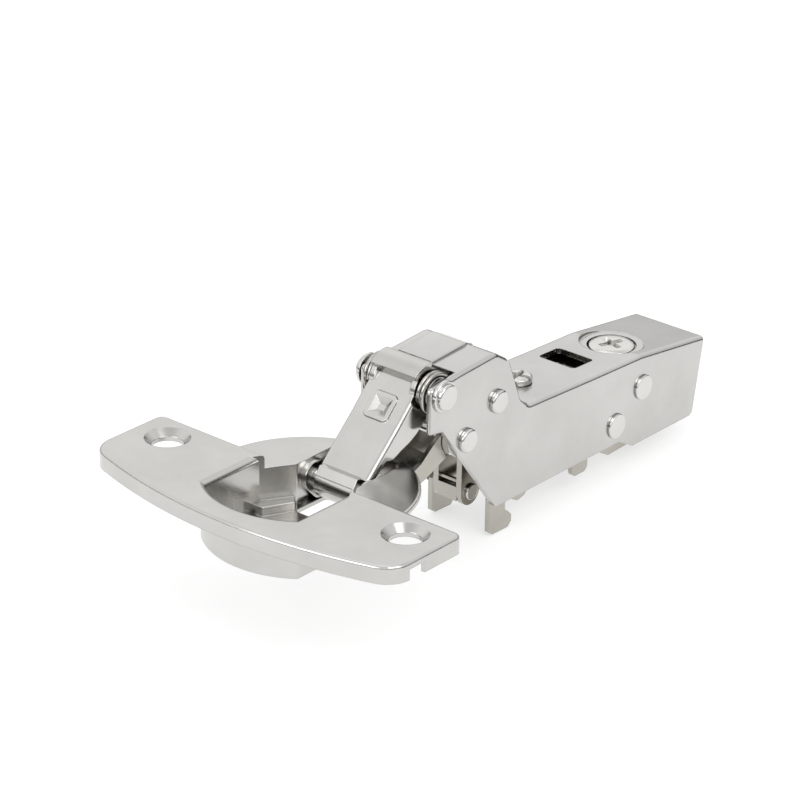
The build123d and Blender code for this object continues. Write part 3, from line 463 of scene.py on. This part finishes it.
def make_depth_screw():
    """The depth screw: a wide crowned head with a cross recess, over its threaded shank."""
    centre = middle_of("depth_screw")
    foot, top = heights_of("depth_screw")
    seat = top - HEAD_HEIGHT
    profile = [(SHANK_RADIUS - SHANK_TIP, foot)]
    profile += [(SHANK_RADIUS, height) for height in run_of(foot + SHANK_TIP, seat - 0.3, THREAD_STEP)]
    head = [
        (SHANK_RADIUS, seat),
        (HEAD_RADIUS - 0.5, seat),
        (HEAD_RADIUS, seat + HEAD_FOOT),
        (HEAD_RADIUS, top - HEAD_CROWN - 0.15),
        (HEAD_RADIUS - 0.7, top - 0.1),
        (HEAD_RADIUS - 1.6, top),
        (0.2, top),
    ]
    profile += rounded_profile(head, HEAD_CORNERS)
    shape = thread(DEPTH_PITCH, DEPTH_THREAD)

    def ripple(turn, height):
        return shape(turn, height) if height < seat - 0.2 else 0.0

    mesh = turned(profile, centre, SCREW_SEGMENTS, ripple=ripple)
    cutter = cross_cutter(centre, top, DRIVE_DEPTH, DRIVE_SPAN, DRIVE_WIDTH, DRIVE_TURN)
    piece = add_piece("depth_screw_detail", carved(mesh, cutter), "depth_adjuster", "screw_steel")
    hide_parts("depth_screw")


# The side screw, in millimetres.
SIDE_HEAD_RADIUS = 2.5
SIDE_HEAD_HEIGHT = 1.25
SIDE_HEAD_LIFT = 0.25
SIDE_HEAD_CORNERS = [0, 0.1, 0.15, 0.2, 0]
SIDE_NECK_RADIUS = 1.3
SIDE_THREAD_END = -1.95
SIDE_COLLAR_TOP = -4.15
SIDE_TIP = 0.15
SIDE_PITCH = 0.6
SIDE_THREAD = 0.22
SIDE_DRIVE_TURN = math.radians(8)
SIDE_DRIVE_DEPTH = 0.85
SIDE_DRIVE_SPAN = 2 * SIDE_HEAD_RADIUS + 2
SIDE_DRIVE_WIDTH = 0.95


def make_side_screw():
    """The side screw: a notched head over the arm, a thread, a neck and a collar below."""
    centre = middle_of("side_screw")
    foot, top = heights_of("side_screw")
    top += SIDE_HEAD_LIFT
    low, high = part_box("side_screw")
    radius = (high[0] - low[0]) / 2 / MM
    seat = top - SIDE_HEAD_HEIGHT
    profile = [(radius - SIDE_TIP, foot), (radius, foot + SIDE_TIP)]
    profile += [(radius, SIDE_COLLAR_TOP - 0.1)]
    profile += [(radius - 0.1, SIDE_COLLAR_TOP), (SIDE_NECK_RADIUS, SIDE_COLLAR_TOP)]
    profile += [(SIDE_NECK_RADIUS, SIDE_THREAD_END)]
    threaded = run_of(SIDE_THREAD_END + SIDE_TIP, seat - 0.1, THREAD_STEP)
    profile += [(radius, height) for height in threaded]
    head = [
        (radius, seat),
        (SIDE_HEAD_RADIUS, seat),
        (SIDE_HEAD_RADIUS, top - 0.3),
        (SIDE_HEAD_RADIUS - 0.4, top),
        (0.15, top),
    ]
    profile += rounded_profile(head, SIDE_HEAD_CORNERS)
    shape = thread(SIDE_PITCH, SIDE_THREAD)

    def ripple(turn, height):
        return shape(turn, height) if SIDE_THREAD_END < height < seat else 0.0

    mesh = turned(profile, centre, SCREW_SEGMENTS, ripple=ripple)
    cutter = cross_cutter(
        centre, top, SIDE_DRIVE_DEPTH, SIDE_DRIVE_SPAN, SIDE_DRIVE_WIDTH, SIDE_DRIVE_TURN
    )
    piece = add_piece("side_screw_detail", carved(mesh, cutter), "side_adjuster", "screw_steel")
    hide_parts("side_screw")


make_depth_seat()
make_depth_screw()
make_side_screw()

# ------------------------------------------------------------------ floor, lamps and world
FLOOR_SIZE = 3.0
FLOOR_DROP = 0.0002
FLOOR_ROUGHNESS = 0.9
FLOOR_TONE = 0.4
FLOOR_GLOW = 0.66


def make_floor():
    """A plain pale floor that is as bright in the metal as it is to the camera."""
    low = cad_bounds[0][2] - FLOOR_DROP
    half = FLOOR_SIZE / 2
    mesh = bpy.data.meshes.new("floor")
    mesh.from_pydata(
        [(-half, -half, low), (half, -half, low), (half, half, low), (-half, half, low)],
        [],
        [(0, 1, 2, 3)],
    )
    floor = bpy.data.objects.new("floor", mesh)
    bpy.context.scene.collection.objects.link(floor)
    shader = Shader("floor")
    shader.principled.inputs["Roughness"].default_value = FLOOR_ROUGHNESS
    shader.principled.inputs["Specular IOR Level"].default_value = 0.0
    shader.principled.inputs["Base Color"].default_value = (FLOOR_TONE, FLOOR_TONE, FLOOR_TONE, 1)
    path = shader.node("ShaderNodeLightPath")
    seen = path.outputs["Is Camera Ray"]
    for kind in ("Is Glossy Ray", "Is Transmission Ray"):
        either = shader.node("ShaderNodeMath", operation="MAXIMUM")
        shader.join(seen, either.inputs[0])
        shader.join(path.outputs[kind], either.inputs[1])
        seen = either.outputs[0]
    power = shader.node("ShaderNodeMath", operation="MULTIPLY")
    power.inputs[1].default_value = FLOOR_GLOW
    shader.join(seen, power.inputs[0])
    glow = shader.node("ShaderNodeEmission")
    shader.join(power.outputs[0], glow.inputs["Strength"])
    both = shader.node("ShaderNodeAddShader")
    shader.join(shader.principled.outputs[0], both.inputs[0])
    shader.join(glow.outputs[0], both.inputs[1])
    shader.join(both.outputs[0], shader.output.inputs["Surface"])
    mesh.materials.append(shader.material)


def softbox(name, place, aim, width, height, power):
    """A rectangular lamp at a place, in metres and watts, turned toward its aim."""
    data = bpy.data.lights.new(name, "AREA")
    data.shape = "RECTANGLE"
    data.size = width
    data.size_y = height
    data.energy = power
    lamp = bpy.data.objects.new(name, data)
    bpy.context.scene.collection.objects.link(lamp)
    direction = Vector(aim) - Vector(place)
    lamp.rotation_euler = direction.to_track_quat("-Z", "Y").to_euler()
    lamp.location = place


# Tones of the studio by the height of a direction (sine) and by its turn (radians).
WORLD_HEIGHT = [
    (-1.0, 0.8),
    (-0.05, 0.6),
    (0.02, 0.08),
    (0.09, 0.15),
    (0.2, 0.9),
    (0.36, 1.1),
    (0.6, 1.15),
    (1.0, 0.7),
]
WORLD_ROUND = [
    (-3.1, 0.8),
    (-1.9, 0.7),
    (-1.3, 0.05),
    (-0.2, 0.03),
    (0.15, 0.3),
    (0.45, 0.95),
    (2.4, 1.0),
]
# How much the turn counts at a height: fully near the horizon and not overhead.
WORLD_ROUND_SHARE = [(-0.1, 0.0), (0.0, 1.0), (0.14, 1.0), (0.24, 0.4), (0.6, 0.1), (0.8, 0.0)]


def make_world():
    """A bright tent with a dark band low down on one side, which the bends of the metal mirror."""
    world = bpy.data.worlds.new("studio")
    bpy.context.scene.world = world
    world.use_nodes = True
    tree = world.node_tree
    background = tree.nodes["Background"]

    def node(kind, **settings):
        made = tree.nodes.new(kind)
        for key, value in settings.items():
            setattr(made, key, value)
        return made

    def graph(source, low, high, stops):
        lift = node("ShaderNodeMapRange")
        lift.inputs["From Min"].default_value = low
        lift.inputs["From Max"].default_value = high
        tree.links.new(source, lift.inputs["Value"])
        ramp = node("ShaderNodeValToRGB")
        ramp.color_ramp.interpolation = "EASE"
        elements = ramp.color_ramp.elements
        while len(elements) < len(stops):
            elements.new(0.5)
        for element, (spot, tone) in zip(elements, stops):
            element.position = (spot - low) / (high - low)
            element.color = (tone, tone, tone, 1)
        tree.links.new(lift.outputs["Result"], ramp.inputs["Fac"])
        return ramp.outputs["Color"]

    place = node("ShaderNodeTexCoord")
    split = node("ShaderNodeSeparateXYZ")
    tree.links.new(place.outputs["Generated"], split.inputs[0])
    height = graph(split.outputs["Z"], -1, 1, WORLD_HEIGHT)
    turn = node("ShaderNodeMath", operation="ARCTAN2")
    tree.links.new(split.outputs["Y"], turn.inputs[0])
    tree.links.new(split.outputs["X"], turn.inputs[1])
    round_tone = graph(turn.outputs[0], -math.pi, math.pi, WORLD_ROUND)
    low_share = graph(split.outputs["Z"], -1, 1, WORLD_ROUND_SHARE)
    blend = node("ShaderNodeMix", data_type="RGBA", blend_type="MULTIPLY")
    tree.links.new(low_share, blend.inputs["Factor"])
    tree.links.new(height, blend.inputs["A"])
    tree.links.new(round_tone, blend.inputs["B"])
    tree.links.new(blend.outputs["Result"], background.inputs["Color"])


AIM = (0.035, 0.0, 0.0)
make_floor()
make_world()
softbox("key", (-0.10, -0.45, 0.50), AIM, 0.45, 0.30, 1.2)
softbox("fill", (-0.50, 0.10, 0.30), AIM, 0.40, 0.30, 0.9)
softbox("top", (0.05, 0.10, 0.60), AIM, 0.50, 0.50, 0.45)

bpy.context.scene.view_settings.view_transform = "Standard"
